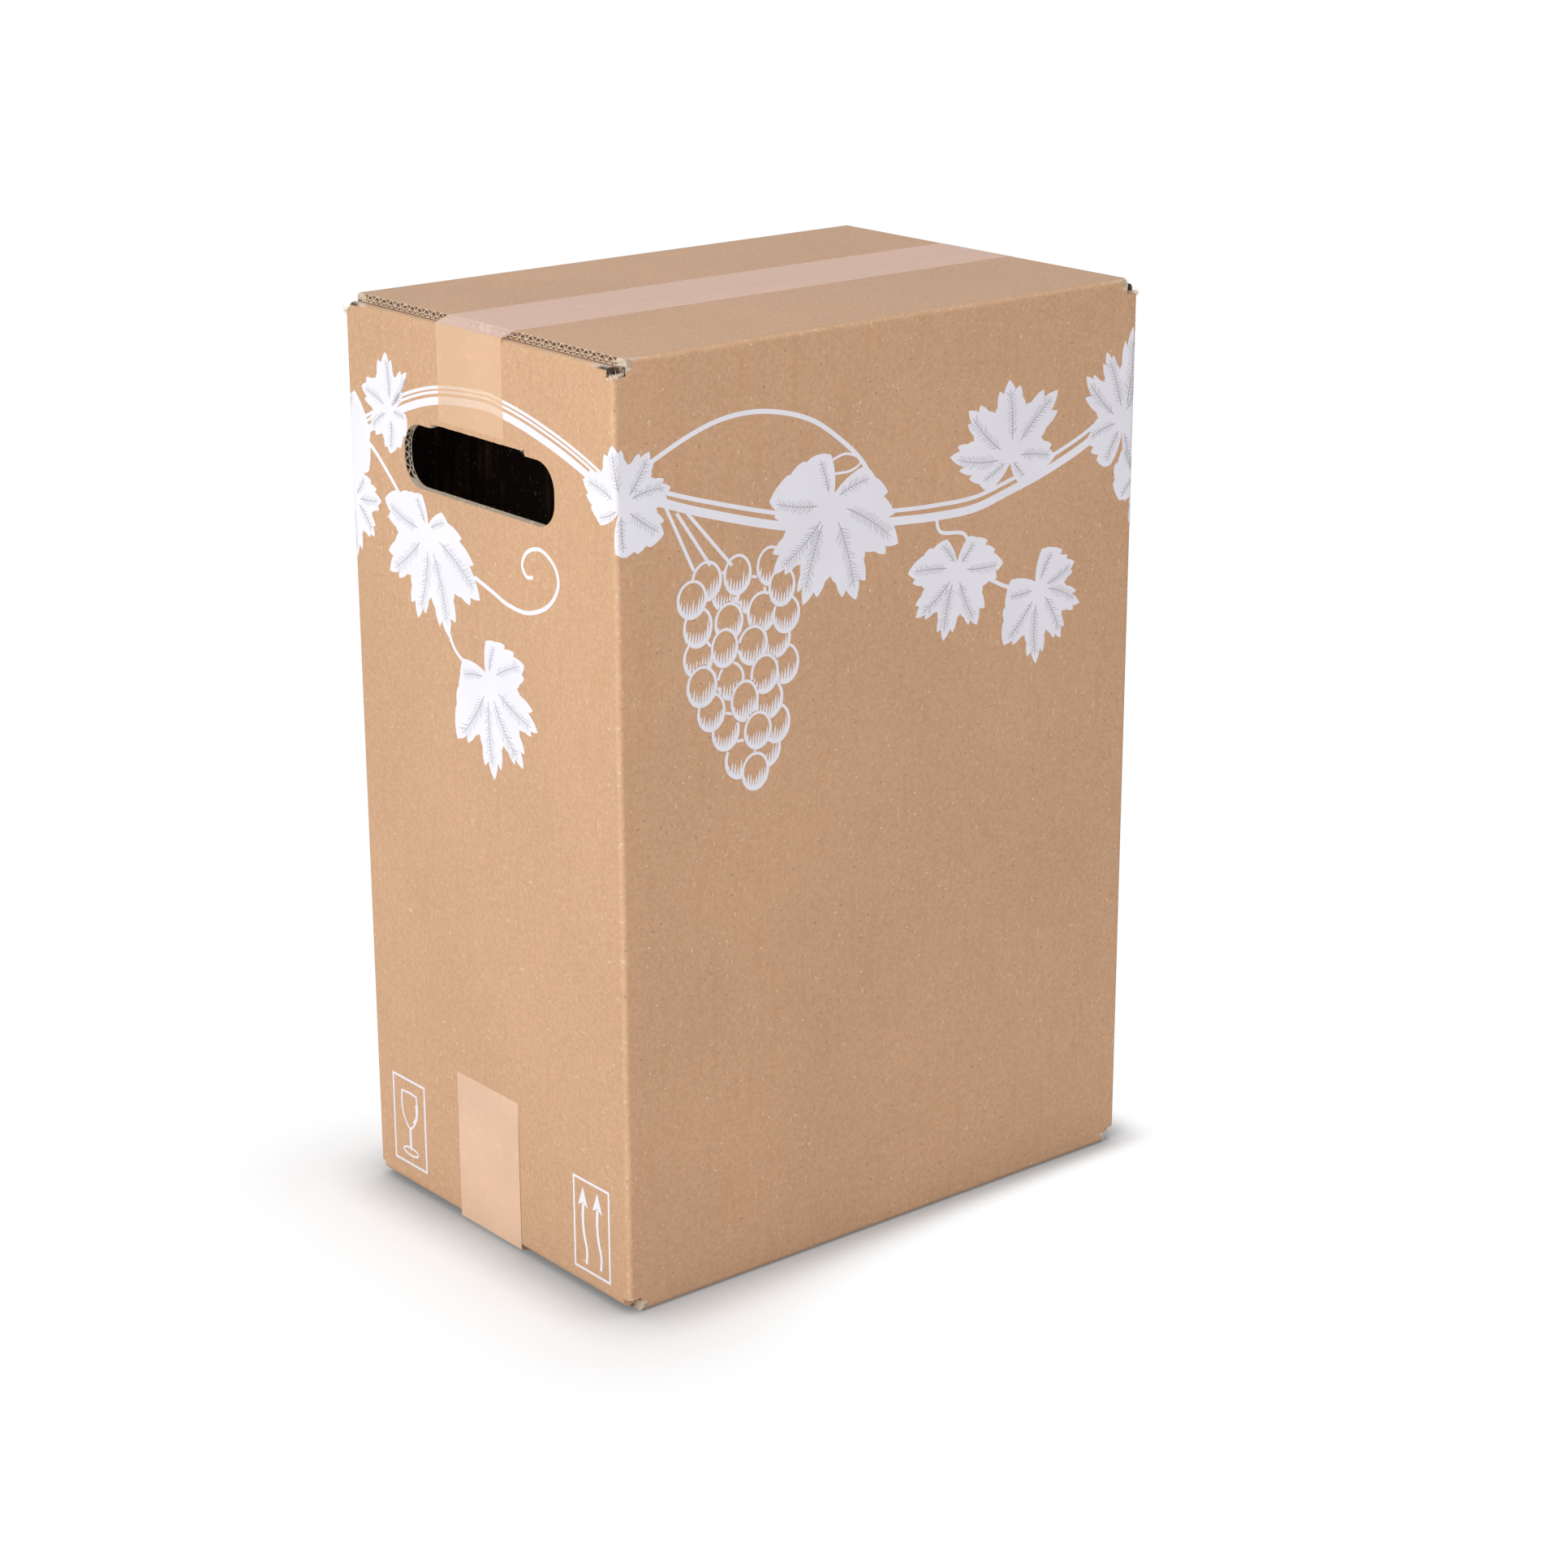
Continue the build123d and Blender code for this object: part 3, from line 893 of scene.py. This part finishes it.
# The skin over a tongue's fold, in metres: its height, half its width, and its ragged lower edge
SKIN_TOP = 0.3972
SKIN_FOOT = 0.3906
SKIN_HALF = 0.0366
SKIN_STEPS = 60
SKIN_RAGGED = 0.00012
SKIN_END_RISE = 0.0016
SKIN_LIFT = 0.00002
SKIN_TURN_IN = 0.0006


def hinge_skin():
    """The outer liner over each tongue's fold, down to the cut between the two relief nicks."""
    draw = random.Random(8)
    mesh = bmesh.new()
    for side in (-1, 1):
        x = side * (HALF_LENGTH + SKIN_LIFT)
        rows = []
        for i in range(SKIN_STEPS + 1):
            y = HOLE_MIDDLE + SKIN_HALF * (2 * i / SKIN_STEPS - 1)
            ragged = draw.uniform(-SKIN_RAGGED, SKIN_RAGGED)
            if i in (0, SKIN_STEPS):
                ragged += SKIN_END_RISE
            low = SKIN_FOOT + ragged
            down = ((x, y, SKIN_TOP), (x, y, low), (x - side * SKIN_TURN_IN, y, low + 0.0001))
            rows.append([mesh.verts.new(at) for at in down])
        for a, b in zip(rows, rows[1:]):
            for i in range(2):
                mesh.faces.new((a[i], a[i + 1], b[i + 1], b[i]))
    bmesh.ops.recalc_face_normals(mesh, faces=mesh.faces[:])
    return piece("hinge_skin", mesh, kraft)


hinge_skin()

finishes = {
    "carton": kraft,
    "tape_top": tape_material("tape_film_top", TAPE_TOP, alpha=0.7, gloss=0.3, is_top=True),
    "tape_bottom": tape_material("tape_film_bottom", TAPE_BOTTOM, alpha=0.9, gloss=0.42, is_top=False),
    "divider_long": divider_material(),
}
finishes["divider_cross_1"] = finishes["divider_cross_2"] = finishes["divider_long"]
for name, material in finishes.items():
    slots = nodes[name].material_slots
    if slots:
        slots[0].link = "OBJECT"
        slots[0].material = material
    else:
        nodes[name].data.materials.append(material)

# The film lies on the board, so it casts no shadow on it
for name in ("tape_top", "tape_bottom"):
    nodes[name].visible_shadow = False


# Floor, world, lamps and camera

FLOOR_LIGHT = (0.88, 0.89, 0.9, 1)
FLOOR_GREY = (0.86, 0.87, 0.885, 1)
FLOOR_SHADOW = (0.1, 0.105, 0.11, 1)
FLOOR_HALF = 9.0
FLOOR_SEGMENTS = 6
# The contact shadow: how far it reaches, and how many times faster it fades on the right
SHADOW_REACH = 0.035
SHADOW_FADE = (0.004, 0.085)
FASTER_RIGHT = 3.0
FASTER_RIGHT_FRONT = 5.0
# The room's light on the carton, and the white that the camera sees behind it
ROOM_LIGHT = 0.48
BACKDROP = 1.0


def white_behind(graph):
    """One where the camera, a mirror or a clear film looks at the background itself."""
    path = graph.node("LightPath").outputs
    return graph.greatest(path["Is Camera Ray"], path["Is Glossy Ray"], path["Is Transmission Ray"])


def floor():
    """A white sweep that keeps only the shadow close to the carton."""
    graph = Graph("studio_floor")
    here = graph.axes("TexCoord", "Object")
    off_left = graph.greatest(graph.math("SUBTRACT", graph.product(here[0], -1.0), HALF_LENGTH), 0.0)
    off_right = graph.greatest(graph.math("SUBTRACT", here[0], HALF_LENGTH), 0.0)
    off_x = graph.math("ADD", off_left, graph.product(off_right, FASTER_RIGHT))
    off_y = graph.greatest(graph.math("SUBTRACT", graph.math("ABSOLUTE", here[1]), HALF_WIDTH), 0.0)
    faster = graph.ramp(here[0], -HALF_LENGTH, HALF_LENGTH, 1.0, FASTER_RIGHT_FRONT)
    away = graph.ramp(graph.distance(off_x, graph.product(off_y, faster)), *SHADOW_FADE)
    colour = graph.mix(graph.noise(3, 2), FLOOR_GREY, FLOOR_LIGHT)
    close = graph.node("AmbientOcclusion", {"Distance": SHADOW_REACH}, samples=8).outputs["AO"]
    colour = graph.mix(graph.math("POWER", close, 1.3), FLOOR_SHADOW, colour)
    matt = graph.node("BsdfDiffuse", {"Color": colour})
    seen = white_behind(graph)
    glow = graph.node("Emission", {"Strength": graph.product(seen, 0.15)})
    white = graph.node("Emission", {"Strength": BACKDROP})
    both = graph.node("AddShader", {0: matt.outputs[0], 1: glow.outputs[0]})
    share = graph.product(seen, away)
    faded = graph.node("MixShader", {0: share, 1: both.outputs[0], 2: white.outputs[0]})
    mesh = bmesh.new()
    bmesh.ops.create_grid(mesh, x_segments=FLOOR_SEGMENTS, y_segments=FLOOR_SEGMENTS, size=FLOOR_HALF)
    data = bpy.data.meshes.new("studio_floor")
    mesh.to_mesh(data)
    mesh.free()
    data.materials.append(graph.surface(faded.outputs[0]))
    made = bpy.data.objects.new("studio_floor", data)
    bpy.context.scene.collection.objects.link(made)


floor()

world = bpy.data.worlds.new("studio")
bpy.context.scene.world = world
world.use_nodes = True
tree = world.node_tree
tree.nodes.clear()
path = tree.nodes.new("ShaderNodeLightPath")
background = tree.nodes.new("ShaderNodeBackground")
background.inputs["Color"].default_value = (1.0, 1.0, 1.0, 1)
seen = tree.nodes.new("ShaderNodeMath")
seen.operation = "MAXIMUM"
tree.links.new(path.outputs["Is Camera Ray"], seen.inputs[0])
tree.links.new(path.outputs["Is Transmission Ray"], seen.inputs[1])
strength = tree.nodes.new("ShaderNodeMapRange")
tree.links.new(seen.outputs[0], strength.inputs["Value"])
strength.inputs["To Min"].default_value = ROOM_LIGHT
strength.inputs["To Max"].default_value = BACKDROP
tree.links.new(strength.outputs[0], background.inputs["Strength"])
world_out = tree.nodes.new("ShaderNodeOutputWorld")
tree.links.new(background.outputs[0], world_out.inputs["Surface"])


def lamp(name, place, aim, size, power, colour):
    """A square lamp of size metres and power watts."""
    data = bpy.data.lights.new(name, "AREA")
    data.shape = "SQUARE"
    data.size = size
    data.energy = power
    data.color = colour
    made = bpy.data.objects.new(name, data)
    made.location = place
    made.rotation_mode = "QUATERNION"
    made.rotation_quaternion = (Vector(aim) - Vector(place)).to_track_quat("-Z", "Y")
    bpy.context.scene.collection.objects.link(made)


lamp("key", (-2.3, -0.75, 1.5), aim=(0, 0, 0.22), size=1.6, power=44, colour=(1.0, 0.985, 0.965))
lamp("fill", (0.9, -2.3, 0.35), aim=(0, 0, 0.05), size=1.4, power=6.6, colour=(1.0, 0.79, 0.79))
lamp("top", (0.3, 0.6, 2.6), aim=(0, 0, 0.3), size=1.8, power=9, colour=(0.95, 0.95, 1.0))

# The photograph's camera, found by fitting the seven visible corners
CAMERA_PLACE = Vector((-0.9977, -1.2421, 0.7252))
AZIMUTH = radians(-39.384)
ELEVATION = radians(18.361)
ROLL = radians(-0.176)
FOCAL_LENGTH = 79.42
SENSOR_WIDTH = 36.0
back = Vector((sin(AZIMUTH) * cos(ELEVATION), -cos(AZIMUTH) * cos(ELEVATION), sin(ELEVATION)))
right = (-back).cross(Vector((0, 0, 1))).normalized()
up = right.cross(-back)
turned_right = right * cos(ROLL) + up * sin(ROLL)
turned_up = up * cos(ROLL) - right * sin(ROLL)
lens = bpy.data.cameras.new("camera")
lens.sensor_width = SENSOR_WIDTH
lens.lens = FOCAL_LENGTH
lens.clip_start = 0.01
camera = bpy.data.objects.new("camera", lens)
bpy.context.scene.collection.objects.link(camera)
turned = Matrix((turned_right, turned_up, back)).transposed().to_4x4()
camera.matrix_world = Matrix.Translation(CAMERA_PLACE) @ turned
bpy.context.scene.camera = camera
bpy.context.scene.view_settings.view_transform = "Standard"
